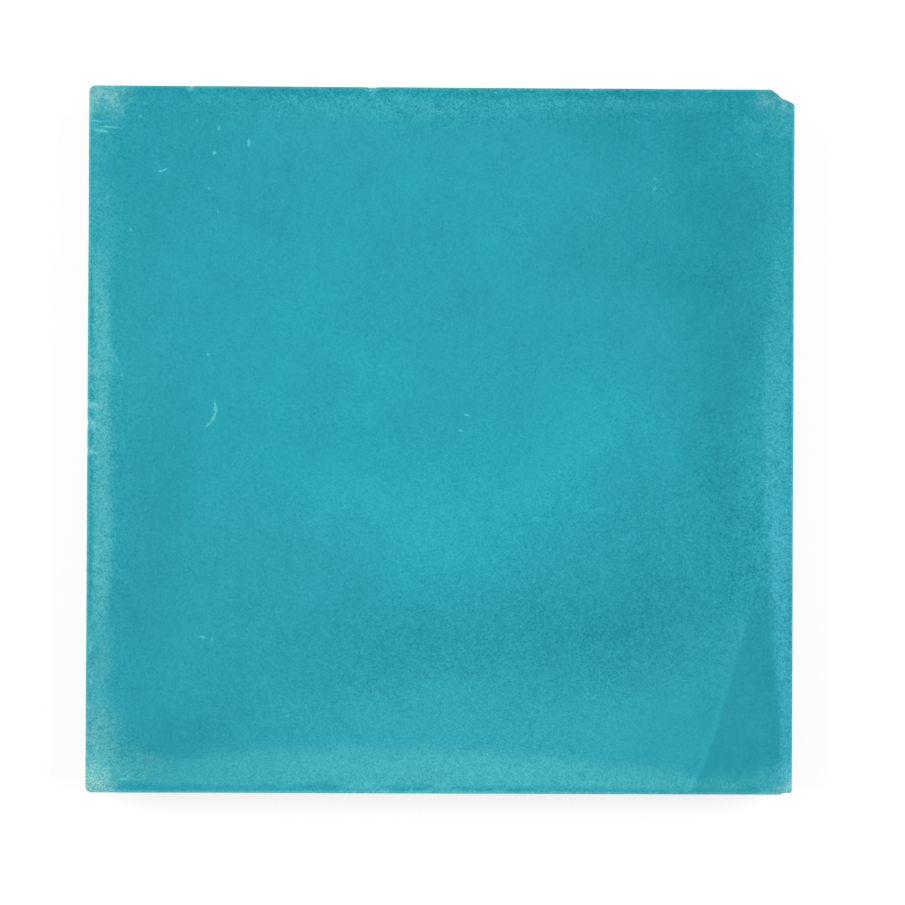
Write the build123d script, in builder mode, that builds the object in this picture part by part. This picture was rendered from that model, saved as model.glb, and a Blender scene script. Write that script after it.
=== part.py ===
"""Square cement tile, pressed in one piece, 200 x 200 x 16 mm, with one corner knocked off.

Frame: the origin is the centre of the bed face, +Z points up out of the coloured wearing face,
+X points east and +Y points north. The broken corner is the north-east one. Millimetres.
"""

import os

from build123d import *

# Pressed block
side = 200.0  # length of each edge of the square
thickness = 16.0  # from the bed to the wearing face
west_corner_radius = 1.8  # upright corners, rubbed round
east_corner_radius = 1.0  # upright corners, nearer to the mould's own
face_arris_radius = 0.6  # worn edge around the wearing face
bed_arris = 0.5  # chamfer around the bed

# Broken corner, as lengths from the sharp north-east corner
break_north_run = 7.3  # lost along the north side
break_east_run = 4.9  # lost along the east side
break_knee_x = 2.85  # knee between the two facets, in from the east side
break_knee_y = 2.82  # the same knee, in from the north side
break_blunt_run = 1.0  # length of the worn end of a facet, along its side
break_blunt_depth = 0.4  # how far that worn end goes in

# Shallow flake off the south side, as lengths from the sharp south-east corner
flake_run = 5.2  # length along the south side
flake_toe_run = 1.3  # length of its gentle west end
flake_toe_depth = 0.25  # depth where that end steepens
flake_depth = 0.75  # greatest depth
flake_deepest_x = 2.0  # in from the east side to the deepest point
flake_corner_depth = 0.5  # depth left at the corner itself

half = side / 2
overcut = 1.0  # how far a cutting outline stands outside the block


def corner_point(x_in, y_in, north=True):
    """The point that is x_in from the east side and y_in from the north or the south side."""
    return (half - x_in, (half - y_in) if north else (y_in - half))


with BuildPart() as tile:
    # The block as it leaves the mould, its upright corners and both arrises worn
    with BuildSketch():
        Rectangle(side, side)
    extrude(amount=thickness)
    uprights = tile.edges().filter_by(Axis.Z).group_by(Axis.X)
    fillet(uprights[0], west_corner_radius)
    uprights = tile.edges().filter_by(Axis.Z).group_by(Axis.X)
    fillet(uprights[-1], east_corner_radius)
    fillet(tile.faces().sort_by(Axis.Z)[-1].edges(), face_arris_radius)
    chamfer(tile.faces().sort_by(Axis.Z)[0].edges(), bed_arris)

    # The break: two facets that meet at a knee, each with a blunt end, through the whole thickness
    with BuildSketch():
        with BuildLine():
            Polyline(
                corner_point(break_north_run, 0),
                corner_point(break_north_run - break_blunt_run, break_blunt_depth),
                corner_point(break_knee_x, break_knee_y),
                corner_point(break_blunt_depth, break_east_run - break_blunt_run),
                corner_point(0, break_east_run),
                corner_point(-overcut, break_east_run),
                corner_point(-overcut, -overcut),
                corner_point(break_north_run, -overcut),
                close=True,
            )
        make_face()
    extrude(amount=thickness, mode=Mode.SUBTRACT)

    # The flake: a long shallow scallop that ends at the south-east corner
    with BuildSketch():
        with BuildLine():
            Polyline(
                corner_point(flake_run, 0, north=False),
                corner_point(flake_run - flake_toe_run, flake_toe_depth, north=False),
                corner_point(flake_deepest_x, flake_depth, north=False),
                corner_point(0, flake_corner_depth, north=False),
                corner_point(-overcut, flake_corner_depth, north=False),
                corner_point(-overcut, -overcut, north=False),
                corner_point(flake_run, -overcut, north=False),
                close=True,
            )
        make_face()
    extrude(amount=thickness, mode=Mode.SUBTRACT)

tile.part.label = "tile"

os.makedirs("parts", exist_ok=True)
export_step(tile.part, "parts/tile.step")
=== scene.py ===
"""The looks of a square turquoise cement tile: the pressed slab with its worn arrises, broken corner
and flake, its pigmented face with its clouds and lime bloom, and a plain white studio around it.

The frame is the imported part's: metres, the origin at the centre of the bed, +Z out of the wearing
face, +X east and +Y north, as the camera sees them. Places on the face, and those inside the materials,
are in millimetres.
"""

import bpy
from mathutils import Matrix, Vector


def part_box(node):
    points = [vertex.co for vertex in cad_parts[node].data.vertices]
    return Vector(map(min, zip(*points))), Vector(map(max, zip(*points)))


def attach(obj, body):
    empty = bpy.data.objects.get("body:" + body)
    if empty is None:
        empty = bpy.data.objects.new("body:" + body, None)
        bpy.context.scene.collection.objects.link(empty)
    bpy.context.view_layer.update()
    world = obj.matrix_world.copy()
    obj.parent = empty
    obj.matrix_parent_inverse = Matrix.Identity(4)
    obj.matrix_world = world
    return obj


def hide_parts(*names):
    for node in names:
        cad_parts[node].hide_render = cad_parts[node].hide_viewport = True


bl_info = {
    "name": "Turquoise cement tile",
    "version": (1, 0, 0),
    "blender": (4, 5, 0),
    "location": "3D View > Sidebar > Tile",
    "description": "Presses a worn single-colour cement tile and sets a white studio around it",
    "category": "Add Mesh",
}

import math
from collections import namedtuple

import bmesh
import bpy
from bpy.props import FloatProperty, FloatVectorProperty, PointerProperty
from mathutils import Vector, noise

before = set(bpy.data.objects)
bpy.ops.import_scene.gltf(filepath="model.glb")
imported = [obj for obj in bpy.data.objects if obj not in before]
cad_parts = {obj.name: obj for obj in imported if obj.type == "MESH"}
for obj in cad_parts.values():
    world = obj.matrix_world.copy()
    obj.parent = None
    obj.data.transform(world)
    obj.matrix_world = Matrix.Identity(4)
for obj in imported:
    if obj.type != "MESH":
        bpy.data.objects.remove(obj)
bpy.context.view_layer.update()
TILE_LOW, TILE_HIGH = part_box("tile")

MM = 0.001

# How far apart the bumps of each relief lie
NICK_WAVE = 0.8 * MM
SAND_WAVE = 1.3 * MM
JAG_WAVE = 2.2 * MM
CRUMB_WAVE = 4.5 * MM
BED_WAVE = 8 * MM
WALL_WAVE = 22 * MM
FACE_WAVE = 48 * MM

Cloud = namedtuple("Cloud", "x y long wide turn lift")
Stretch = namedtuple("Stretch", "at rise fall soft haze lime")
Mark = namedtuple("Mark", "x0 y0 x1 y1 width lift")
Nick = namedtuple("Nick", "x y reach depth")

# Where the pigment lies lighter or darker: centre, half length, half width, turn in degrees and lift,
# which is how much it adds in the middle
CLOUDS = (
    Cloud(-14, -22, 50, 30, -14, 0.08),  # the light sweep under the middle, its west arm
    Cloud(4, -24, 38, 24, 12, 0.06),
    Cloud(36, -4, 46, 28, 42, 0.085),  # its east arm, which rises to the right
    Cloud(-42, 2, 60, 56, 0, 0.035),
    Cloud(0, 10, 80, 70, 0, 0.035),
    Cloud(-30, 56, 44, 16, 38, 0.025),  # the fainter ring over the middle
    Cloud(20, 70, 60, 26, -10, 0.02),
    Cloud(6, 40, 22, 15, 0, -0.03),  # the hollow inside the ring
    Cloud(-36, 8, 16, 16, 0, -0.02),
    Cloud(-55, 66, 18, 9, -20, -0.045),
    Cloud(-88, 62, 16, 44, 0, -0.05),
    Cloud(79, 20, 22, 110, 3, -0.14),  # the dark column along the east side
    Cloud(88, 62, 16, 44, 0, -0.06),
    Cloud(62, 92, 60, 16, -2, -0.105),
    Cloud(60, 62, 44, 44, -20, -0.075),
    Cloud(50, -50, 46, 22, 16, -0.115),  # the dark fall below the sweep
    Cloud(66, -52, 24, 20, 20, -0.05),
    Cloud(-4, -57, 62, 17, 5, -0.05),
    Cloud(-82, -34, 18, 74, 0, -0.08),  # the dark strip inside the west band
    Cloud(-74, -84, 44, 14, 0, -0.08),
    Cloud(10, -82, 90, 20, 0, 0.11),  # the light before the south band
    Cloud(56, -84, 40, 18, 0, 0.03),
    Cloud(0, -95, 130, 12, 0, 0.04),
    Cloud(-78, 78, 40, 30, 0, -0.045),
    Cloud(62, -20, 30, 30, 0, -0.02),
    Cloud(48, 50, 26, 20, 0, -0.025),
    Cloud(74, 74, 24, 18, 0, -0.03),
    Cloud(98, 62, 16, 38, 0, -0.055),  # the darker and lighter reaches of the sides
    Cloud(92, -10, 14, 32, 0, 0.05),
    Cloud(90.5, -36, 5, 6, 0, -0.06),
    Cloud(-63, 95, 48, 10, 0, -0.055),
    Cloud(74, 97, 26, 8, 0, -0.03),
    Cloud(22, 97, 20, 7, 0, -0.03),
    Cloud(68, -84, 24, 15, 0, -0.04),
    Cloud(84, -57, 4, 15, -16, 0.035),  # the pale strip along the wedge
    Cloud(68, -50, 10, 13, 0, 0.045),
    Cloud(84, 92, 9, 6, 0, -0.04),
    Cloud(94, 84, 8, 8, 0, -0.05),
)

# Haze and dried lime apart from the bands: in the corners and in patches along the sides
HAZE_PATCHES = (
    Cloud(-95.5, 95.5, 10, 9.5, 0, 0.12),
    Cloud(-95.4, 95.7, 3.2, 2.8, 0, -0.12),  # the dark blot inside the north-west patch
    Cloud(-99.5, 88, 2.4, 10, 0, 0.08),
    Cloud(-96.2, 87, 2, 9, 0, -0.05),
    Cloud(-96.8, 82, 3, 3, 0, 0.04),  # thin patches along the west side
    Cloud(-98.6, 71.6, 2, 2, 0, 0.1),
    Cloud(-98, 68.2, 2.2, 2.6, 0, 0.1),
    Cloud(-93, 21, 3.6, 6, 0, 0.05),  # the lobe inside the curved line
    Cloud(-97, -94, 12, 18, 0, 0.04),
    Cloud(96, -97, 12, 9, 0, 0.14),
    Cloud(80, -98, 17, 4.5, 0, 0.12),
    Cloud(88.2, 88.4, 5, 2, 0, 0.12),  # two thin patches below the broken corner
    Cloud(98, 88, 3.4, 1.8, 0, 0.17),
    Cloud(-8, -99.8, 58, 2.2, 0, 0.26),  # the most worn and the least worn reach of the south arris
    Cloud(80, -99.8, 34, 2.2, 0, -0.14),
)
LIME_PATCHES = (
    Cloud(-96.5, 98, 11, 9, 0, 0.23),
    Cloud(-95.4, 95.7, 3.4, 3, 0, -0.08),
    Cloud(-91.4, 96.4, 3.4, 3, 0, 0.08),
    Cloud(-94.5, 99, 2.6, 2, 0, -0.1),
    Cloud(-99.6, 95, 2.6, 7, 0, 0.1),
    Cloud(-99, -99, 12, 8.5, 0, 0.5),
    Cloud(-97, -85, 11, 16, -6, 0.08),
    Cloud(-86, -91, 12, 8, 0, 0.05),
    Cloud(99, -99.5, 10, 5, 10, 0.34),
    Cloud(99, -96, 6, 7, 0, 0.05),
    Cloud(84, -98, 18, 5, 0, 0.025),
    Cloud(97, 95, 12, 10, 0, 0.05),
    Cloud(94, 97.2, 7, 3.2, -35, 0.12),  # along the break
    Cloud(95.5, 94, 5, 3, -30, 0.05),
    Cloud(-99.2, 20, 2.6, 9, 0, 0.1),  # blotches on the west arris
    Cloud(-98.8, 9.8, 2.8, 2.4, 0, 0.14),
    Cloud(-98.8, 4.4, 2.8, 2.8, 0, 0.13),
    Cloud(-98.8, -3.4, 2.8, 2.4, 0, 0.12),
)

# Where the haze is bluer
COOLNESS = (Cloud(99, -30, 22, 130, 0, 1.3),)

# No band reaches farther in from its side than this
BANDS_END = 20

# The pale band along each side, given at a few places along it: there it starts and ends at these
# depths, fades out over twice the softness, and is this hazy and this limy
BANDS = {
    "west": (
        Stretch(-90, 0.5, 8, 3.4, 0.12, 0.05),
        Stretch(-72, 0.6, 6.0, 2.6, 0.115, 0.055),
        Stretch(-58, 0.8, 7.0, 2.6, 0.08, 0.045),
        Stretch(-46, 1.5, 6.2, 1.4, 0.165, 0.055),
        Stretch(-37, 1.8, 8.0, 1.3, 0.185, 0.055),
        Stretch(-25, 1.8, 6.8, 1.1, 0.19, 0.055),
        Stretch(-8, 1.6, 6.8, 1.1, 0.19, 0.055),
        Stretch(8, 1.8, 6.5, 1.1, 0.19, 0.045),
        Stretch(24, 1.7, 6.8, 1.1, 0.20, 0.055),
        Stretch(35, 1.7, 6.8, 1.1, 0.20, 0.06),
        Stretch(46, 1.4, 5.2, 1.6, 0.19, 0.05),
        Stretch(56, 0.5, 6, 3, 0.065, 0.01),
        Stretch(66, 0.5, 8, 3, 0.05, 0.015),
        Stretch(76, 0.5, 5, 2.6, 0.04, 0.02),
        Stretch(88, 0.5, 8, 3, 0.035, 0.02),
    ),
    "east": (
        Stretch(-84, 0.7, 3.2, 0.8, 0.185, 0.0),
        Stretch(-70, 0.8, 4.2, 0.8, 0.19, 0.0),
        Stretch(-50, 1.0, 5.6, 0.9, 0.17, 0.005),
        Stretch(-30, 1.0, 7.2, 1.2, 0.15, 0.01),
        Stretch(-10, 1.2, 8.8, 1.2, 0.095, 0.015),
        Stretch(10, 1.2, 8.6, 1.2, 0.09, 0.015),
        Stretch(40, 1.2, 7.0, 1.0, 0.06, 0.01),
        Stretch(60, 1.2, 7, 1.2, 0.03, 0.0),
        Stretch(88, 0.8, 7, 3, 0.02, 0.0),
    ),
    "north": (
        Stretch(-86, 2.6, 6, 2, 0.0, 0.0),
        Stretch(-40, 3.2, 9, 2.5, 0.035, 0.0),
        Stretch(-10, 3.2, 8.5, 2.8, 0.07, 0.007),
        Stretch(10, 3.4, 6.8, 1.5, 0.06, 0.005),
        Stretch(50, 3.4, 7.2, 0.9, 0.06, 0.0),
        Stretch(72, 3.0, 6.2, 0.9, 0.045, 0.0),
        Stretch(82, 3.0, 6.2, 0.9, 0.0, 0.0),
    ),
    "south": (
        Stretch(-90, 2.2, 9, 3, 0.12, 0.0),
        Stretch(-70, 2.2, 10.2, 2.5, 0.15, 0.0),
        Stretch(-50, 2.2, 12.4, 3.4, 0.19, 0.0),
        Stretch(-20, 2.5, 12.0, 3.8, 0.23, 0.0),
        Stretch(10, 2.2, 12.0, 4, 0.24, 0.0),
        Stretch(30, 2.0, 10.6, 3.6, 0.24, 0.0),
        Stretch(50, 1.6, 8.6, 2.6, 0.22, 0.0),
        Stretch(66, 1.0, 7.0, 2, 0.20, 0.0),
        Stretch(72, 1.0, 5, 1.4, 0.14, 0.0),
        Stretch(74, 1.0, 5, 1.4, 0.0, 0.0),
    ),
}

# The course of the broken corner from the east side to the north side, as shares of how far it
# reaches along those two sides, and of the flake from the west end to the corner, as shares of its
# length and depth
BREAK = ((0.0, 1.0), (0.055, 0.88), (0.31, 0.69), (0.45, 0.63), (0.62, 0.44), (0.82, 0.17), (1.0, 0.0))
FLAKE = ((1.0, 0.0), (0.68, 0.8), (0.47, 1.0), (0.0, 0.75))

# A dark line just inside the arris: how far in it reaches, how much it darkens
EDGE_LINES = {"north": (3.6, -0.08), "south": (2.6, -0.01), "east": (2.2, -0.05), "west": (2.8, -0.05)}

# How hazy the worn arris of the face is along each side, with painted light on it as well: part of the
# paleness on the rounded arris stands in for the light that the side lamps don't give it, most of all on
# the south side
ARRIS_HAZE_AND_PAINTED_LIGHT = {"north": 0.21, "south": 0.6, "west": 0.4, "east": 0.34}

# Where the grain is coarse and the pigment full of dark specks
GRIT = (
    Cloud(50, -60, 130, 90, 20, 0.32),
    Cloud(0, -60, 140, 120, 0, 0.26),
    Cloud(84, -30, 24, 50, 10, 0.34),
    Cloud(98, -10, 18, 120, 0, 0.9),
    Cloud(-98, 0, 14, 110, 0, 0.9),
    Cloud(0, 98, 120, 12, 0, 1.15),
    Cloud(0, -97, 110, 14, 0, 0.24),
    Cloud(66, -82, 34, 22, 8, -0.55),  # the calm reach before the wedge
    Cloud(-95, -92, 16, 24, 0, 0.4),
    Cloud(-92, 92, 16, 16, 0, 0.5),
    Cloud(92, 88, 18, 18, 0, 0.5),
)

# The dark wedge in the south-east: points on its west edge, from north to south
WEDGE = ((114, 0), (97, -20), (92, -32), (87.7, -48), (83, -66), (79, -80), (75, -92), (71.5, -98))

# Where the pigment is redder
WARMTH = (
    Cloud(0, -84, 130, 40, 0, 0.1),
    Cloud(-94, -20, 26, 120, 0, 0.07),
    Cloud(94, 0, 26, 110, 0, 0.05),
    Cloud(-20, -26, 44, 22, 0, 0.03),
    Cloud(-64, -46, 40, 44, 0, 0.04),
    Cloud(50, -56, 50, 30, 0, 0.02),
    Cloud(-20, 90, 90, 24, 0, 0.02),
    Cloud(83.5, -58, 6, 16, -15, 0.08),
    Cloud(68, -60, 26, 36, 0, 0.05),
)

# Scratches, ticks and dots on the face: two ends, width, strength
MARKS = (
    Mark(-63.9, 10.7, -63.6, 7.4, 0.56, 0.85),  # the longest scratch, in three strokes
    Mark(-63.6, 7.4, -64.8, 5.0, 0.48, 0.8),
    Mark(-64.8, 5.0, -66.5, 3.3, 0.34, 0.6),
    Mark(-63.0, 88.5, -63.1, 87.4, 0.42, 0.7),
    Mark(-54.6, 84.6, -54.7, 82.8, 0.42, 0.76),
    Mark(-64.5, 81.1, -64.2, 80.9, 0.5, 1.0),
    Mark(-66.0, 71.1, -65.8, 70.9, 0.36, 0.55),
    Mark(-80.0, 75.6, -78.0, 76.2, 0.42, 0.8),
    Mark(-63.4, 64.5, -63.3, 64.3, 0.34, 0.6),
    Mark(-88.0, 59.1, -87.8, 58.9, 0.4, 0.6),
    Mark(-9.5, 85.1, -9.3, 84.9, 0.4, 0.45),
    Mark(60.1, 74.9, 60.8, 74.2, 0.36, 0.32),
    Mark(60.4, 71.7, 60.3, 71.5, 0.42, 0.55),
    Mark(-66.0, 24.1, -65.8, 23.9, 0.4, 0.6),
    Mark(-75.2, -1.9, -75.6, -2.8, 0.3, 0.28),
    Mark(7.0, 7.3, 7.9, 7.1, 0.4, 0.8),
    Mark(5.0, 2.7, 6.0, 2.8, 0.42, 0.82),
    Mark(-67.8, -55.9, -66.4, -56.0, 0.36, 0.75),
    Mark(-64.4, -56.2, -64.3, -57.5, 0.4, 0.82),
    Mark(-99.4, 89.8, -94.6, 89.7, 0.36, 0.66),  # the rubs in the north-west corner
    Mark(-98.4, 87.2, -94.6, 86.8, 0.46, 0.85),
    Mark(-97.2, 88.3, -90.6, 87.9, 0.4, 0.62),
    Mark(-89.9, 99.5, -90.5, 97.3, 0.5, 0.5),
    Mark(-90.6, 93.4, -90.4, 91.2, 0.32, 0.34),
    Mark(-85.3, 91.3, -85.2, 91.2, 0.4, 0.5),
    Mark(-84.4, 95.0, -84.2, 94.9, 0.42, 0.4),
    Mark(-69.3, 90.1, -69.2, 90.0, 0.38, 0.35),
    Mark(-94.3, 69.2, -94.5, 67.8, 0.5, 0.35),
    Mark(-94.4, 26.4, -92.6, 23.8, 0.3, 0.3),  # the curved line inside the west band
    Mark(-92.6, 23.8, -90.8, 20.8, 0.3, 0.38),
    Mark(-90.8, 20.8, -90.0, 16.8, 0.3, 0.28),
    Mark(-90.6, -96.2, -88.2, -96.0, 0.5, 0.6),  # the tick in the south-west corner
    Mark(-88.2, -96.0, -87.4, -94.8, 0.4, 0.5),
    Mark(89.0, 81.6, 91.0, 80.8, 0.42, 0.3),
    Mark(5.4, 99.4, 8.2, 99.3, 0.4, 0.34),  # dots and rubs along the arrises
    Mark(15.0, 98.4, 15.2, 98.4, 0.42, 0.55),
    Mark(68.2, 98.6, 68.4, 98.6, 0.4, 0.4),
    Mark(74.0, 99.0, 76.4, 99.1, 0.4, 0.26),
    Mark(-98.9, 15.8, -98.0, 12.6, 0.4, 0.42),
    Mark(-98.6, -56.9, -98.6, -60.2, 0.42, 0.55),
    Mark(-98.1, -66.2, -98.2, -67.0, 0.42, 0.45),
    Mark(-98.9, -68.0, -98.1, -69.0, 0.5, 0.8),
    Mark(98.7, 60.6, 98.5, 60.5, 0.42, 0.35),
)

# Small chips out of the arris of the face: where they are, how far they reach and how deep they are
NICKS = (
    Nick(-71.2, 99.4, 1.6, 0.2),
    Nick(-19.8, 99.4, 2.7, 0.22),
    Nick(42.3, 99.8, 1.2, 0.12),
    Nick(-99.0, 9.8, 1.9, 0.16),
    Nick(-98.8, 4.4, 2.3, 0.18),
    Nick(-99.0, -3.4, 1.9, 0.16),
)

# Where the noise that stirs the clouds and patches starts, so that they fall the same in every run
STIR_SEED = 1796055366

# The layers of paint that the points of the slab carry, and the material reads
PAINT_LAYERS = ("tone", "haze", "lime", "grit", "wedge", "fading", "warmth", "cool")


def length(name, description, value):
    """A length in metres, which Blender shows in the scene's units."""
    return FloatProperty(name=name, description=description, default=value, min=0.0,
                         precision=5, unit="LENGTH", subtype="DISTANCE")


def share(name, description, value, most=1.0):
    """A plain factor."""
    return FloatProperty(name=name, description=description, default=value, min=0.0, max=most,
                         precision=3, subtype="FACTOR")


def colour(name, description, value):
    """A linear colour."""
    return FloatVectorProperty(name=name, description=description, default=value, size=3,
                               min=0.0, max=1.0, subtype="COLOR")


class TileSizes(bpy.types.PropertyGroup):
    """The slab, its damage and how finely it is modelled."""

    side: length("Side", "Length of each edge of the square", TILE_HIGH.x - TILE_LOW.x)
    thickness: length("Thickness", "From the bed to the wearing face", TILE_HIGH.z - TILE_LOW.z)
    west_round: length("West corners", "Radius of the two rubbed upright corners", 1.8 * MM)
    east_round: length("East corner", "Radius of the south-east upright corner", 0.9 * MM)
    break_round: length("Break rounding", "How far the corners of the break are softened", 0.28 * MM)
    face_arris: length("Face arris", "Radius of the worn edge round the wearing face", 0.6 * MM)
    bed_arris: length("Bed arris", "Size of the chamfer round the bed", 0.5 * MM)
    break_north: length("Break, north", "Lost along the north side at the break", 6.6 * MM)
    break_east: length("Break, east", "Lost along the east side at the break", 4.4 * MM)
    flake_run: length("Flake", "Length of the shallow flake on the south side", 3.5 * MM)
    flake_depth: length("Flake depth", "Greatest depth of that flake", 0.52 * MM)
    pigment: length("Pigment layer", "Thickness of the coloured layer over the grey body", 3.6 * MM)
    rim_pitch: length("Rim pitch", "Spacing of the points along the rim", 0.56 * MM)
    wall_pitch: length("Wall pitch", "Spacing of the points up the walls", 0.72 * MM)
    face_pitch: length("Face pitch", "Spacing of the points across the face", 1.4 * MM)
    bed_pitch: length("Bed pitch", "Spacing of the points across the bed", 3.0 * MM)
    warp: length("Warp", "How far the face dips between its high places", 0.12 * MM)
    wander: length("Wander", "How far the walls wander in from straight", 0.13 * MM)
    sand: length("Sand relief", "Roughness of the walls and the bed", 0.07 * MM)
    fracture: length("Fracture relief", "Roughness of the broken faces", 0.5 * MM)
    crumble: length("Crumble", "How far the arris of the bed has crumbled", 0.7 * MM)


class TileColours(bpy.types.PropertyGroup):
    """The colours of the pigment, the bloom and the body, and how strongly each pattern shows."""

    turquoise: colour("Turquoise", "The pigmented face", (0.0212, 0.3605, 0.4365))
    lift: colour("Lift", "What a lift of one adds to it, be it a cloud or a grain", (0.0735, 0.362, 0.383))
    # The colour of the pale bloom, and of the painted light on the arris
    haze: colour("Haze", "Thin bloom along the sides", (0.155, 0.72, 0.76))
    cool_haze: colour("Cool haze", "Thin bloom where it is bluer", (0.14, 0.73, 1.0))
    lime: colour("Lime", "Dried lime in the corners", (0.46, 0.78, 0.69))
    scuff: colour("Scuff", "Scratches, ticks and chipped pigment", (0.2, 0.8, 0.83))
    cement: colour("Cement", "The grey body under the pigment", (0.30, 0.29, 0.265))
    sand: colour("Sand", "Pale grains in the body", (0.52, 0.49, 0.43))
    pore: colour("Pore", "Pores and dark grains in the body", (0.10, 0.098, 0.09))
    clouding: share("Clouding", "Strength of the light and dark clouds", 1.0, 2.0)
    bloom: share("Bloom", "Strength of the pale bands and corners", 1.0, 2.0)
    grain: share("Grain", "Strength of the fine grain", 0.7)
    speck: share("Specks", "How much darker the specks are than the pigment", 0.13)
    scratch: share("Scratches", "How pale the scratches and ticks are", 0.56)
    face_roughness: share("Face roughness", "Roughness of the pigmented face", 0.68)
    body_roughness: share("Body roughness", "Roughness of the grey body", 0.9)


class StudioSettings(bpy.types.PropertyGroup):
    """The camera, the lamps and the floor."""

    lens: FloatProperty(name="Lens", description="Focal length in millimetres", default=85.0, min=1.0,
                        unit="CAMERA")
    stand: FloatVectorProperty(name="Stand", description="Where the camera is", unit="LENGTH",
                               default=(-2.12 * MM, -6.46 * MM, 620.3 * MM), precision=5)
    turn: FloatVectorProperty(name="Turn", description="How the camera is tilted and rolled from"
                              " straight down", unit="ROTATION", subtype="EULER",
                              default=[math.radians(a) for a in (0.283, -0.518, 0.276)])
    key: FloatProperty(name="Key lamps", description="Power of each side lamp", default=11.5,
                       unit="POWER")
    lamp_size: length("Lamp size", "Length of each edge of a side lamp", 0.9)
    lamp_place: FloatVectorProperty(name="Lamp place", description="Where the east lamp is, which the"
                                    " west lamp mirrors", unit="LENGTH", default=(1.05, 0.25, 0.82))
    sky: share("Sky", "Strength of the even light from all round", 0.3, 2.0)
    floor_size: length("Floor size", "Half width of the floor", 3.0)
    paper: share("Floor paper", "How pale the floor itself is", 0.4)
    glow: share("Floor glow", "How white the floor near the tile shows by itself", 0.71)
    glow_near: length("Near glow", "How far out the floor keeps that glow", 0.2)
    glow_far: length("Far glow", "From where on the floor shows fully white", 0.7)


def smooth(value, low, high):
    """0 below low, 1 above high, and an even ease between them."""
    t = min(max((value - low) / (high - low), 0.0), 1.0)
    return t * t * (3 - 2 * t)


def ripple(place, wavelength, seed=0.0):
    """Smooth noise from 0 to 1 with bumps of about that wavelength. The seed only moves it along."""
    return 0.5 + 0.5 * noise.noise(place / wavelength + Vector((seed, 0.0, 0.0)))


def bumps(place, *waves):
    """Smooth noise about 0, as a sum of bumps that are given by their height and wavelength."""
    return sum(height * noise.noise(place / wavelength) for height, wavelength in waves)


# The slab


def outline(sizes):
    """The slab's outline from above as (x, y, rounding), counter-clockwise from the south-west."""
    half = sizes.side / 2
    flake = [(run * sizes.flake_run, depth * sizes.flake_depth, sizes.break_round)
             for run, depth in FLAKE]
    flake[0] = (*flake[0][:2], 0.0)
    flake[-1] = (*flake[-1][:2], sizes.east_round)
    broken = [(east * sizes.break_north, north * sizes.break_east, sizes.break_round)
              for east, north in BREAK]
    broken[-1] = (*broken[-1][:2], 2 * sizes.break_round)
    return [
        (-half, -half, sizes.west_round),
        *((half - x, y - half, rounding) for x, y, rounding in flake),
        *((half - x, half - y, rounding) for x, y, rounding in broken),
        (-half, half, sizes.west_round),
    ]


def outline_loop(bm, sizes):
    """The rounded outline as one closed loop of short edges."""
    points = outline(sizes)
    corners = [bm.verts.new((x, y, 0.0)) for x, y, _ in points]
    face = bm.faces.new(corners)
    for rounding in sorted({r for _, _, r in points if r}):
        rounded = [v for v, (_, _, r) in zip(corners, points) if r == rounding]
        bmesh.ops.bevel(bm, geom=rounded, offset=rounding, offset_type="OFFSET", segments=6,
                        profile=0.5, affect="VERTICES", material=-1)
    for edge in list(bm.edges):
        cuts = int(edge.calc_length() / sizes.rim_pitch)
        if cuts:
            bmesh.ops.subdivide_edges(bm, edges=[edge], cuts=cuts)
    bmesh.ops.delete(bm, geom=list(bm.faces), context="FACES_ONLY")
    return list(bm.edges)


def rings(bm, loop, half, profile):
    """Extrude a loop of edges along a profile of (inset, height), and return the last loop."""
    for (was_in, was_up), (now_in, now_up) in zip(profile, profile[1:]):
        made = bmesh.ops.extrude_edge_only(bm, edges=loop)["geom"]
        verts = [g for g in made if isinstance(g, bmesh.types.BMVert)]
        loop = [g for g in made if isinstance(g, bmesh.types.BMEdge)]
        shrink = (half - now_in) / (half - was_in)
        bmesh.ops.scale(bm, vec=(shrink, shrink, 1.0), verts=verts)
        bmesh.ops.translate(bm, vec=(0.0, 0.0, now_up - was_up), verts=verts)
    return loop


def field(bm, loop, reach, pitch):
    """Fill a loop with one face and slice that into squares."""
    face = bmesh.ops.edgeloop_fill(bm, edges=loop)["faces"][0]
    geom = [face, *face.edges, *face.verts]
    slices = int(reach / pitch)
    for normal in (Vector((1.0, 0.0, 0.0)), Vector((0.0, 1.0, 0.0))):
        for i in range(-slices, slices + 1):
            centre = normal * (i * pitch) + Vector((0.0, 0.0, face_height(geom)))
            geom = bmesh.ops.bisect_plane(bm, geom=geom, dist=1e-7, plane_co=centre,
                                          plane_no=normal)["geom"]


def face_height(geom):
    """The height of a level patch."""
    return next(g.co.z for g in geom if isinstance(g, bmesh.types.BMVert))


def widening(start, stop, first, growth):
    """Insets from start to stop, each step larger than the one before."""
    insets, step = [], first
    while start + step < stop:
        start += step
        insets.append(start)
        step *= growth
    return insets


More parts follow.
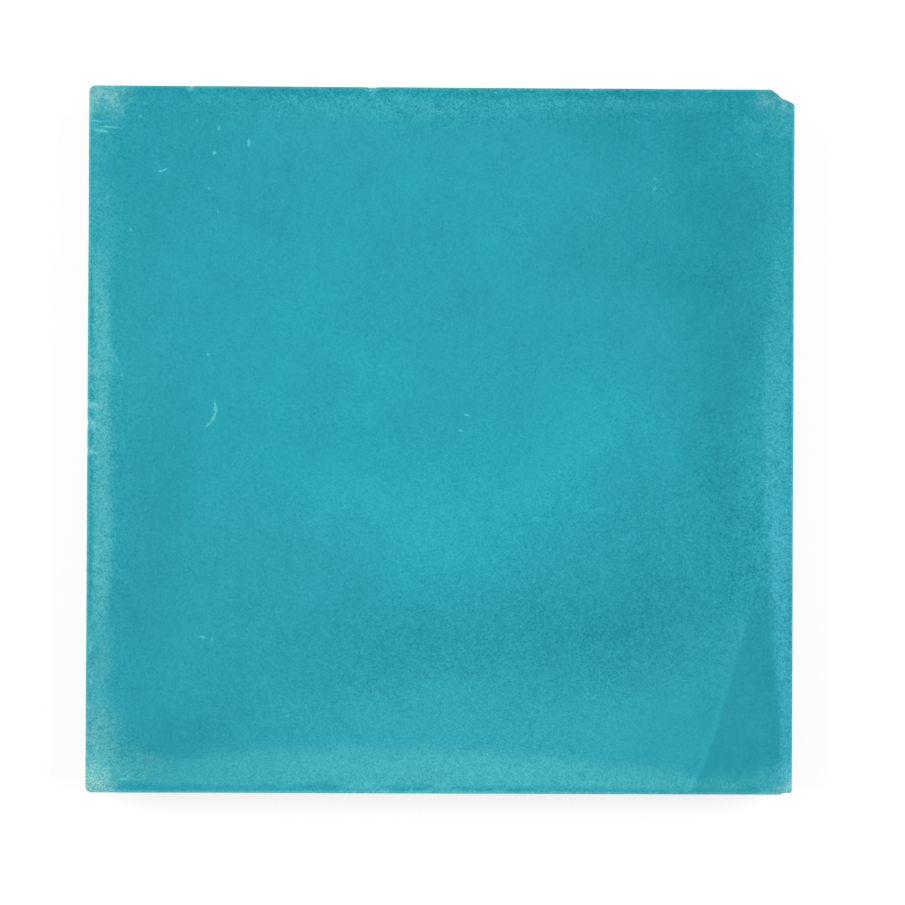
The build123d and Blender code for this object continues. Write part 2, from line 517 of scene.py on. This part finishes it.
def smooth_slab(bm, sizes):
    """The slab before any wear: walls, both arrises, the rim and the field of the face and the bed."""
    half, top = sizes.side / 2, sizes.thickness
    arris, chamfer = sizes.face_arris, sizes.bed_arris
    field_inset = 7.5 * MM
    loop = outline_loop(bm, sizes)
    bmesh.ops.translate(bm, vec=(0.0, 0.0, chamfer), verts=list(bm.verts))
    steps = round((top - arris - chamfer) / sizes.wall_pitch)
    wall = [(0.0, chamfer + (top - arris - chamfer) * i / steps) for i in range(steps + 1)]
    turns = [math.radians(a) for a in (18, 36, 54, 72, 90)]
    round_over = [(arris * (1 - math.cos(a)), top - arris * (1 - math.sin(a))) for a in turns]
    rim = [(inset, top) for inset in widening(arris, field_inset, 0.4 * MM, 1.28)]
    last = rings(bm, loop, half, [*wall, *round_over, *rim])
    field(bm, last, half, sizes.face_pitch)
    chamfered = [(0.0, chamfer), (chamfer / 2, chamfer / 2), (chamfer, 0.0)]
    bed_rim = [(inset, 0.0) for inset in widening(chamfer, field_inset, 0.6 * MM, 1.6)]
    last = rings(bm, loop, half, [*chamfered, *bed_rim])
    field(bm, last, half, sizes.bed_pitch)
    bmesh.ops.recalc_face_normals(bm, faces=list(bm.faces))


def near_break(place, normal, sizes):
    """How surely a point of a wall belongs to the broken corner or the flake, from 0 to 1."""
    half = sizes.side / 2
    east, north = half - place.x, half - place.y
    corner = smooth(normal.x, 0.12, 0.4) * smooth(normal.y, 0.12, 0.4)
    corner *= 1 - smooth(max(east, north), sizes.break_north, sizes.break_north + 1.0 * MM)
    flaked = smooth(-normal.y, 0.3, 0.7) * (1 - smooth(east, 0.8 * sizes.flake_run, sizes.flake_run))
    flaked *= smooth(half + place.y, 0.05 * MM, 0.2 * MM)
    return max(corner, 0.5 * flaked * (place.y < 0))


def fracture_depth(place, sizes):
    """How far in the broken faces lie: jagged all over, and undercut towards the bed."""
    jag = noise.fractal(place / JAG_WAVE, 0.8, 2.1, 4)
    under = smooth(sizes.thickness - place.z, 1.0 * MM, sizes.thickness)
    return sizes.fracture * (0.45 + 0.45 * jag + 0.7 * under) * min(1, 0.3 + under * 6)


def crumbled_depth(place, sizes):
    """How far the arris of the bed has crumbled at one place."""
    half, reach = sizes.side / 2, 3.0 * MM
    edge = max(abs(place.x), abs(place.y))
    low = smooth(reach - place.z, 0.0, reach) * smooth(edge, half - reach, half - 0.5 * MM)
    return low * sizes.crumble * smooth(ripple(place, CRUMB_WAVE, 11.0), 0.5, 1.0) if low else 0.0


def nick_at(place, sizes):
    """How deep the chips out of the arris of the face are at one place, and how fresh it is there."""
    half, top = sizes.side / 2, sizes.thickness
    depth = fresh = 0.0
    if place.z < top - 2.5 * MM or max(abs(place.x), abs(place.y)) < half - 3.0 * MM:
        return depth, fresh
    for nick in NICKS:
        middle = Vector((nick.x * MM, nick.y * MM, top))
        off = (place - middle).length / (nick.reach * MM)
        if off < 1:
            bite = (1 - off * off) ** 2
            depth += nick.depth * MM * bite * (0.6 + 0.8 * ripple(place, NICK_WAVE, 2.0))
            fresh = max(fresh, bite)
    return depth, fresh


def wear_depth(place, normal, sizes):
    """How far one point of the smooth slab is worn in, and how freshly chipped it is."""
    top, level, least = sizes.thickness, abs(normal.z), 0.01
    upright = 1 - level
    sand = sizes.sand * ripple(place, SAND_WAVE)
    depth = chipped = 0.0
    if normal.z > least:
        depth += sizes.warp * level * ripple(place, FACE_WAVE, 7.0)
    if upright > least:
        depth += upright * sizes.wander * ripple(place, WALL_WAVE, 3.0)
        depth += upright * sand * (1 - 0.7 * smooth(place.z, top - sizes.pigment, top))
        chipped = near_break(place, normal, sizes)
        if chipped:
            depth += chipped * fracture_depth(place, sizes)
    if normal.z < -least:
        depth += level * (sand + 0.1 * MM * ripple(place, BED_WAVE, 5.0))
    nicked, fresh = nick_at(place, sizes)
    return depth + crumbled_depth(place, sizes) + nicked, max(chipped, fresh)


def wear(bm, sizes):
    """Push every point of the smooth slab in by its wear, and note where it is chipped."""
    bm.normal_update()
    chipped_layer = bm.verts.layers.float.new("chipped")
    moves = []
    for vert in bm.verts:
        depth, chipped = wear_depth(vert.co, vert.normal, sizes)
        vert[chipped_layer] = chipped
        moves.append(vert.normal * -depth)
    for vert, move in zip(bm.verts, moves):
        vert.co += move


def oval(place, cloud):
    """1 in the middle of an oval and 0 outside it, for a place in millimetres."""
    turn = math.radians(cloud.turn)
    east, north = place.x - cloud.x, place.y - cloud.y
    along = (east * math.cos(turn) + north * math.sin(turn)) / cloud.long
    across = (north * math.cos(turn) - east * math.sin(turn)) / cloud.wide
    return 1 - smooth(math.hypot(along, across), 0.0, 1.0)


def ovals(place, clouds):
    """The sum of several ovals, each at its own strength."""
    return sum(cloud.lift * oval(place, cloud) for cloud in clouds)


def stirred(place, wavelength, reach):
    """The place, moved about by up to that reach, so that shapes laid on it get uneven edges."""
    return place + noise.noise_vector(place / wavelength) * reach


def between(knots, at):
    """Values at one place, blended from the two knots on either side of it."""
    if at <= knots[0][0]:
        return knots[0]
    for low, high in zip(knots, knots[1:]):
        if at <= high[0]:
            t = (at - low[0]) / (high[0] - low[0])
            return [a + (b - a) * t for a, b in zip(low, high)]
    return knots[-1]


def side_depths(place, half):
    """How far a place lies in from each side, and where along it."""
    return {
        "west": (half + place.x, place.y),
        "east": (half - place.x, place.y),
        "south": (half + place.y, place.x),
        "north": (half - place.y, place.x),
    }


def wedge_reach(place):
    """How far inside the dark wedge a place lies: negative to the west of it, down to -20."""
    edge = [(y, x) for x, y in reversed(WEDGE)]
    return max(place.x - between(edge, place.y)[1], -20.0)


def along_sides(place, half, top, wander):
    """What the four sides add to the tone, the haze and the lime at one place. On the arris that haze is
    partly painted light.
    """
    tone = haze = lime = 0.0
    on_face = smooth(place.z, top - 1.2, top - 0.3)
    for side, (depth, along) in side_depths(place, half).items():
        # The worn arris: real pale bloom, and painted light where the lamps leave the rounded arris in
        # shade
        haze += ARRIS_HAZE_AND_PAINTED_LIGHT[side] * on_face * (1 - smooth(depth, 0.1, 1.1))
        if depth > BANDS_END:
            continue
        _, rise, fall, soft, hazy, limy = between(BANDS[side], along)
        ragged = depth + wander * min(depth / 4.0, 1.0)
        shape = smooth(ragged, rise - 0.6, rise + 0.6) * (1 - smooth(ragged, fall - soft, fall + soft))
        haze += shape * hazy
        lime += shape * limy
        reach, lift = EDGE_LINES[side]
        tone += lift * smooth(ragged, 0.3, 1.0) * (1 - smooth(ragged, reach * 0.5, reach))
    return tone, haze, lime


def paint_at(place, half, top):
    """Every layer of paint at one place: how light, hazy, limy and gritty the face is, how far inside
    the wedge it lies and how much of the wedge shows, and how much redder and cooler it is there."""
    wedge = wedge_reach(place)
    wander = bumps(place, (1.6, 9.0), (0.9, 3.2)) * (1 - 0.6 * smooth(wedge, -6.0, 2.0))
    tone, haze, lime = along_sides(place, half, top, wander)
    tone += ovals(stirred(place, 24.0, 7.0), CLOUDS) + 0.04 * noise.fractal(place / 11.0, 0.45, 2.1, 3)
    tone += 0.045 * smooth(wedge, 0.0, 2.0) * (1 - smooth(half + place.y, 2.0, 9.0))
    patchy = stirred(place, 4.5, 3.0)
    return {
        "tone": tone,
        # Pale bloom from the bands and patches, and painted light on the arris
        "haze": haze + ovals(patchy, HAZE_PATCHES),
        "lime": lime + ovals(patchy, LIME_PATCHES),
        "grit": ovals(place, GRIT) + bumps(place, (0.25, 14.0)),
        "wedge": wedge,
        "fading": 1 - smooth(place.y, -58.0, -30.0),
        "warmth": ovals(place, WARMTH) + 0.07 * smooth(wedge, -0.5, 1.0) - 0.46 * tone,
        "cool": ovals(place, COOLNESS),
    }


def paint(bm, sizes):
    """Lay the face's layers of paint on the points of the slab, and how far above the grey body
    each point lies, so that the material can blend them."""
    noise.seed_set(STIR_SEED)
    layers = {name: bm.verts.layers.float.new(name) for name in (*PAINT_LAYERS, "above_grey")}
    seam = (sizes.thickness - sizes.pigment) / MM
    for vert in bm.verts:
        place = vert.co / MM
        vert[layers["above_grey"]] = place.z + bumps(place, (1.2, 15.0), (0.6, 4.0)) - seam
        if place.z > seam:
            painted = paint_at(place, sizes.side / 2 / MM, sizes.thickness / MM)
            for name, value in painted.items():
                vert[layers[name]] = value


def lay_out_map(bm, sizes):
    """The map that the finish is baked through: most of it holds the face, the rest the walls and
    the bed, which is cut down its middle into two halves that lie side by side. Gaps and shares are
    parts of the map's own width."""
    layer = bm.loops.layers.uv.new("OFBake")
    half, side, tall = sizes.side / 2, sizes.side, sizes.thickness
    gap, face_share, bed_share = 0.006, 0.72, 0.47
    to_face, to_bed = face_share / side, bed_share / side
    strip = tall * to_face
    for face in bm.faces:
        normal, middle = face.normal, face.calc_center_median()
        across = abs(normal.x) > abs(normal.y)
        wall_index = (0 if normal.x > 0 else 1) if across else (2 if normal.y > 0 else 3)
        for corner in face.loops:
            x, y, z = corner.vert.co
            if normal.z > 0.6:
                u, v = gap + (x + half) * to_face, gap + (y + half) * to_face
            elif normal.z < -0.6:
                east = middle.x > 0
                u = gap + (y + half) * to_bed + (bed_share + gap if east else 0.0)
                v = face_share + 2 * gap + (x if east else x + half) * to_bed
            else:
                u = face_share + 2 * gap + wall_index * (strip + gap * 0.8) + z * to_face
                v = gap + ((y if across else x) + half) * to_face
            corner[layer].uv = (u, v)


# Shader nodes


class Nodes:
    """Shorthand for making and joining the nodes of one material or world."""

    def __init__(self, tree):
        self.tree = tree
        tree.nodes.clear()

    def add(self, kind, feeds=(), **settings):
        """One node, with its settings and the values or sockets that feed it."""
        node = self.tree.nodes.new("ShaderNode" + kind)
        for name, value in settings.items():
            setattr(node, name, value)
        for key, value in dict(feeds).items():
            if isinstance(value, bpy.types.NodeSocket):
                self.tree.links.new(value, node.inputs[key])
            else:
                node.inputs[key].default_value = value
        return node

    def math(self, operation, *values, clamp=False):
        """One Math node."""
        return self.add("Math", enumerate(values), operation=operation, use_clamp=clamp).outputs[0]

    def vector(self, operation, *values):
        """One Vector Math node whose inputs are all vectors."""
        return self.add("VectorMath", enumerate(values), operation=operation).outputs[0]

    def scaled(self, vector, factor):
        """A place or colour times one number."""
        return self.add("VectorMath", {0: vector, "Scale": factor}, operation="SCALE").outputs[0]

    def distance(self, place):
        """How far a place is from the origin."""
        return self.add("VectorMath", {0: place}, operation="LENGTH").outputs["Value"]

    def times(self, *values):
        """The product of several values."""
        product = values[0]
        for value in values[1:]:
            product = self.math("MULTIPLY", product, value)
        return product

    def ease(self, value, low, high, to_low=0.0, to_high=1.0):
        """to_low where the value is below low, to_high above high, and an even ease between."""
        feeds = {"Value": value, "From Min": low, "From Max": high, "To Min": to_low, "To Max": to_high}
        return self.add("MapRange", feeds, interpolation_type="SMOOTHSTEP").outputs["Result"]

    def attribute(self, name):
        """A layer that the points of the piece carry."""
        return self.add("Attribute", attribute_name=name).outputs["Fac"]

    def noise(self, place, grain, detail=2.0, roughness=0.5):
        """Noise whose largest bumps are about that many millimetres."""
        feeds = {"Vector": place, "Scale": 1 / grain, "Detail": detail, "Roughness": roughness}
        return self.add("TexNoise", feeds).outputs["Fac"]

    def scatter(self, place, spacing):
        """The distance to the nearest of many scattered points, as a share of their spacing, and two
        numbers from 0 to 1 that belong to that point."""
        cells = self.add("TexVoronoi", {"Vector": place, "Scale": 1 / spacing}).outputs
        picks = self.add("SeparateColor", {0: cells["Color"]}).outputs
        return cells["Distance"], picks[0], picks[1]

    def looking(self):
        """1 for the camera and for what it sees mirrored or through glass, 0 for the light."""
        path = self.add("LightPath").outputs
        mirrored = self.math("MAXIMUM", path["Is Glossy Ray"], path["Is Transmission Ray"])
        return self.math("MAXIMUM", path["Is Camera Ray"], mirrored)

    def mix(self, factor, first, second):
        """One colour over another."""
        feeds = {0: factor, 6: tuple_or_socket(first), 7: tuple_or_socket(second)}
        return self.add("Mix", feeds, data_type="RGBA", clamp_factor=True).outputs[2]


def tuple_or_socket(value):
    """A colour as a socket wants it."""
    return value if isinstance(value, bpy.types.NodeSocket) else (*value, 1.0)


def strokes(nodes, place, marks):
    """The strongest of several thin strokes at each point."""
    total = 0.0
    any_height = 1e4
    for mark in marks:
        half_length = math.hypot(mark.x1 - mark.x0, mark.y1 - mark.y0) / 2
        feeds = {
            "Vector": place,
            "Location": ((mark.x0 + mark.x1) / 2, (mark.y0 + mark.y1) / 2, 0.0),
            "Rotation": (0.0, 0.0, math.atan2(mark.y1 - mark.y0, mark.x1 - mark.x0)),
            "Scale": (half_length + mark.width, mark.width, any_height),
        }
        inside = nodes.add("Mapping", feeds, vector_type="TEXTURE").outputs[0]
        shown = nodes.ease(nodes.distance(inside), 0.45, 1.1, mark.lift, 0.0)
        total = nodes.math("MAXIMUM", shown, total)
    return total


def specks(nodes, place, grit):
    """Dark specks of undispersed pigment, thickest where the grain is coarse."""
    off, chance, size = nodes.scatter(place, 1.5)
    chosen = nodes.math("LESS_THAN", chance, nodes.math("MULTIPLY_ADD", grit, 0.42, 0.035))
    speck = nodes.math("SUBTRACT", nodes.math("MULTIPLY_ADD", size, 0.16, 0.16), off)
    return nodes.times(nodes.ease(speck, 0.0, 0.14), chosen)


def pigment(nodes, place, mid, fine, layer, colours):
    """The pigment itself: its clouds, its grain and specks, and the calmer dark wedge."""
    wedge = nodes.math("MULTIPLY_ADD", mid, 1.2, nodes.math("SUBTRACT", layer["wedge"], 0.6))
    in_wedge = nodes.times(nodes.ease(wedge, -0.7, 0.7), layer["fading"])
    wedge_line = nodes.times(nodes.ease(wedge, -2.4, -0.8), nodes.ease(wedge, -0.6, 0.3, 1.0, 0.0))
    calm = nodes.times(in_wedge, nodes.ease(layer["haze"], 0.03, 0.12, 1.0, 0.0))
    grain_left = nodes.math("MULTIPLY_ADD", calm, -0.5, 1.0)
    grit = nodes.math("MULTIPLY", layer["grit"], grain_left, clamp=True)
    strength = nodes.times(nodes.math("MULTIPLY_ADD", grit, 1.42, 0.485), grain_left, colours.grain)
    coarse_strength = nodes.math("MULTIPLY_ADD", grit, 0.19, 0.07)
    tone = nodes.times(layer["tone"], colours.clouding)
    tone = nodes.math("MULTIPLY_ADD", nodes.math("SUBTRACT", fine, 0.5), strength, tone)
    tone = nodes.math("MULTIPLY_ADD", nodes.math("SUBTRACT", mid, 0.5), coarse_strength, tone)
    tone = nodes.math("MULTIPLY_ADD", specks(nodes, place, grit), -colours.speck, tone)
    tone = nodes.math("MULTIPLY_ADD", in_wedge, -0.11, tone)
    tone = nodes.math("MULTIPLY_ADD", wedge_line, 0.03, tone)
    red = nodes.math("ADD", tone, layer["warmth"])
    shade = nodes.add("CombineXYZ", {0: red, 1: tone, 2: tone}).outputs[0]
    shown = nodes.vector("MULTIPLY_ADD", shade, tuple(colours.lift), tuple(colours.turquoise))
    darkest = 0.002
    return nodes.vector("MAXIMUM", shown, (darkest, darkest, darkest))


def scuffs(nodes, place, fine, chipped, colours):
    """How scuffed the face is: its scratches, ticks and dots, and its fresh chips."""
    stir = nodes.add("TexNoise", {"Vector": place, "Scale": 1 / 1.2, "Detail": 1.0}).outputs["Color"]
    stir = nodes.vector("SUBTRACT", stir, (0.5, 0.5, 0.5))
    stirred_place = nodes.vector("MULTIPLY_ADD", stir, (1.0, 1.0, 0.0), place)
    marks = nodes.times(strokes(nodes, stirred_place, MARKS), nodes.ease(fine, 0.34, 0.5, 0.7, 1.0))
    fresh = nodes.times(chipped, nodes.ease(fine, 0.36, 0.62, 0.25, 0.8))
    return nodes.times(nodes.math("MAXIMUM", marks, fresh), colours.scratch)


def face_colour(nodes, place, mid, fine, colours):
    """The pigmented face with haze, lime and scuffs over it, and how dry it is there. On the arris the
    haze also paints light that the lamps don't give.
    """
    layer = {name: nodes.attribute(name) for name in (*PAINT_LAYERS, "chipped")}
    chalk = nodes.math("MULTIPLY_ADD", mid, 0.35, fine)
    haze = nodes.times(layer["haze"], nodes.ease(chalk, 0.42, 0.92, 0.68, 1.32), colours.bloom)
    lime = nodes.times(layer["lime"], nodes.ease(chalk, 0.5, 0.85, 0.35, 1.65), colours.bloom)
    scuffed = scuffs(nodes, place, fine, layer["chipped"], colours)
    bloom = nodes.mix(layer["cool"], tuple(colours.haze), tuple(colours.cool_haze))
    shown = nodes.mix(haze, pigment(nodes, place, mid, fine, layer, colours), bloom)
    shown = nodes.mix(lime, shown, tuple(colours.lime))
    return nodes.mix(scuffed, shown, tuple(colours.scuff)), nodes.math("MAXIMUM", lime, scuffed)


def body_colour(nodes, place, colours):
    """The grey cement body, with sand grains, dark grains and pores in a mottled paste, and how
    gritty it is."""
    paste = nodes.noise(place, 14.0, 2.0, 0.6)
    gritty = nodes.noise(place, 0.6, 1.0, 0.6)
    grey = nodes.scaled(tuple(colours.cement), nodes.ease(paste, 0.3, 0.7, 0.82, 1.14))
    grey = nodes.mix(nodes.ease(gritty, 0.56, 0.68, 0.0, 0.75), grey, tuple(colours.sand))
    grey = nodes.mix(nodes.ease(gritty, 0.30, 0.42, 0.6, 0.0), grey, tuple(colours.pore))
    off, size, _ = nodes.scatter(place, 2.6)
    inside = nodes.math("SUBTRACT", nodes.math("MULTIPLY_ADD", size, 0.30, -0.10), off)
    pore = nodes.times(nodes.ease(inside, 0.0, 0.08), 0.7)
    return nodes.mix(pore, grey, tuple(colours.pore)), gritty


def new_material(name):
    """A material, and its nodes to fill."""
    material = bpy.data.materials.new(name)
    material.use_nodes = True
    return material, Nodes(material.node_tree)


def finish_tile(colours):
    """The tile's one material: pigmented face and upper walls, grey body below and on the bed."""
    material, nodes = new_material("turquoise_cement")
    place = nodes.scaled(nodes.add("TexCoord").outputs["Object"], 1 / MM)
    mid = nodes.noise(place, 2.4, 2.0, 0.6)
    fine = nodes.noise(place, 0.6, 2.0, 0.75)
    face, dry = face_colour(nodes, place, mid, fine, colours)
    body, gritty = body_colour(nodes, place, colours)
    uneven = nodes.math("SUBTRACT", mid, 0.5)
    above = nodes.math("MULTIPLY_ADD", uneven, 1.6, nodes.attribute("above_grey"))
    pigmented = nodes.ease(above, -0.3, 0.3)
    shown = nodes.mix(pigmented, body, face)
    height = nodes.add("Mix", {0: pigmented, 2: gritty, 3: fine}).outputs[0]
    relief = nodes.math("MULTIPLY_ADD", pigmented, -0.10 * MM, 0.16 * MM)
    bump = nodes.add("Bump", {"Strength": 0.5, "Distance": relief, "Height": height})
    gloss = nodes.math("MULTIPLY_ADD", dry, 0.3, colours.face_roughness)
    gloss = nodes.add("Mix", {0: pigmented, 2: colours.body_roughness, 3: gloss}).outputs[0]
    feeds = {"Base Color": shown, "Roughness": gloss, "Normal": bump.outputs[0],
             "Specular IOR Level": 0.1}
    shader = nodes.add("BsdfPrincipled", feeds)
    nodes.add("OutputMaterial", {"Surface": shader.outputs[0]})
    return material


def piece_from(bm, name, material):
    """A finished object in the scene, made of the bmesh, which is freed."""
    mesh = bpy.data.meshes.new(name)
    bm.to_mesh(mesh)
    bm.free()
    mesh.materials.append(material)
    piece = bpy.data.objects.new(name, mesh)
    bpy.context.scene.collection.objects.link(piece)
    return piece


class TILE_OT_press(bpy.types.Operator):
    """Model the tile, wear it, and give it its pigmented finish"""

    bl_idname = "tile.press"
    bl_label = "Press the tile"

    def execute(self, context):
        sizes, colours = context.scene.tile_sizes, context.scene.tile_colours
        bm = bmesh.new()
        smooth_slab(bm, sizes)
        paint(bm, sizes)
        wear(bm, sizes)
        lay_out_map(bm, sizes)
        for face in bm.faces:
            face.smooth = True
        slab = piece_from(bm, "tile_slab", finish_tile(colours))
        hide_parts("tile")
        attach(slab, "root")
        return {"FINISHED"}


# The studio


def white_floor(settings):
    """A plain pale floor that shows white to the camera, save where the tile shades it. Farther off
    it glows a little more, as it gets less light there."""
    material, nodes = new_material("white_floor")
    away = nodes.distance(nodes.add("TexCoord").outputs["Object"])
    near, far = settings.glow_near, settings.glow_far
    glowing = nodes.times(nodes.looking(), nodes.ease(away, near, far, settings.glow, 1.0))
    paper = nodes.add("BsdfDiffuse", {"Color": (settings.paper, settings.paper, settings.paper, 1.0)})
    glow = nodes.add("Emission", {"Color": (1.0, 1.0, 1.0, 1.0), "Strength": glowing})
    both = nodes.add("AddShader", {0: paper.outputs[0], 1: glow.outputs[0]})
    nodes.add("OutputMaterial", {"Surface": both.outputs[0]})
    bm = bmesh.new()
    bmesh.ops.create_grid(bm, x_segments=1, y_segments=1, size=settings.floor_size)
    floor = piece_from(bm, "floor", material)


def softbox(name, power, size, place, aim):
    """A square lamp that faces a point."""
    lamp = bpy.data.lights.new(name, "AREA")
    lamp.energy, lamp.shape, lamp.size = power, "SQUARE", size
    held = bpy.data.objects.new(name, lamp)
    held.location = place
    held.rotation_euler = (Vector(aim) - Vector(place)).to_track_quat("-Z", "Y").to_euler()
    bpy.context.scene.collection.objects.link(held)


def even_sky(strength):
    """White behind everything that the camera sees, and a weaker even light from all round."""
    world = bpy.data.worlds.new("studio")
    world.use_nodes = True
    bpy.context.scene.world = world
    nodes = Nodes(world.node_tree)
    level = nodes.ease(nodes.looking(), 0.0, 1.0, strength, 1.0)
    back = nodes.add("Background", {"Color": (1.0, 1.0, 1.0, 1.0), "Strength": level})
    nodes.add("OutputWorld", {"Surface": back.outputs[0]})


def hang_camera(settings):
    """The camera almost straight above the tile, with its long lens."""
    camera = bpy.data.cameras.new("camera")
    camera.lens = settings.lens
    held = bpy.data.objects.new("camera", camera)
    held.location = settings.stand
    held.rotation_euler = settings.turn
    bpy.context.scene.collection.objects.link(held)
    bpy.context.scene.camera = held


class TILE_OT_stage(bpy.types.Operator):
    """Set the floor, the lamps, the sky and the camera"""

    bl_idname = "tile.stage"
    bl_label = "Set the studio"

    def execute(self, context):
        settings, sizes = context.scene.tile_studio, context.scene.tile_sizes
        white_floor(settings)
        east, north, up = settings.lamp_place
        for name, x in (("lamp_west", -east), ("lamp_east", east)):
            softbox(name, settings.key, settings.lamp_size, (x, north, up), (0.0, 0.0, sizes.thickness))
        even_sky(settings.sky)
        hang_camera(settings)
        context.scene.view_settings.view_transform = "Standard"
        return {"FINISHED"}


class TILE_PT_panel(bpy.types.Panel):
    """Lists the tile's operators and the values that they use"""

    bl_idname = "TILE_PT_panel"
    bl_label = "Cement tile"
    bl_space_type = "VIEW_3D"
    bl_region_type = "UI"
    bl_category = "Tile"

    def draw(self, context):
        scene, column = context.scene, self.layout.column()
        for values, operator in (
            ((scene.tile_sizes, scene.tile_colours), TILE_OT_press),
            ((scene.tile_studio,), TILE_OT_stage),
        ):
            for group in values:
                for name in group.__annotations__:
                    column.prop(group, name)
            column.operator(operator.bl_idname)


CLASSES = (TileSizes, TileColours, StudioSettings, TILE_OT_press, TILE_OT_stage, TILE_PT_panel)


def register():
    """Make the classes and their settings known to Blender."""
    for cls in CLASSES:
        bpy.utils.register_class(cls)
    bpy.types.Scene.tile_sizes = PointerProperty(type=TileSizes)
    bpy.types.Scene.tile_colours = PointerProperty(type=TileColours)
    bpy.types.Scene.tile_studio = PointerProperty(type=StudioSettings)


def unregister():
    """Take them out again."""
    del bpy.types.Scene.tile_sizes, bpy.types.Scene.tile_colours, bpy.types.Scene.tile_studio
    for cls in reversed(CLASSES):
        bpy.utils.unregister_class(cls)


def main():
    """Make the tile and its studio."""
    register()
    bpy.ops.tile.press()
    bpy.ops.tile.stage()


if __name__ == "__main__":
    main()
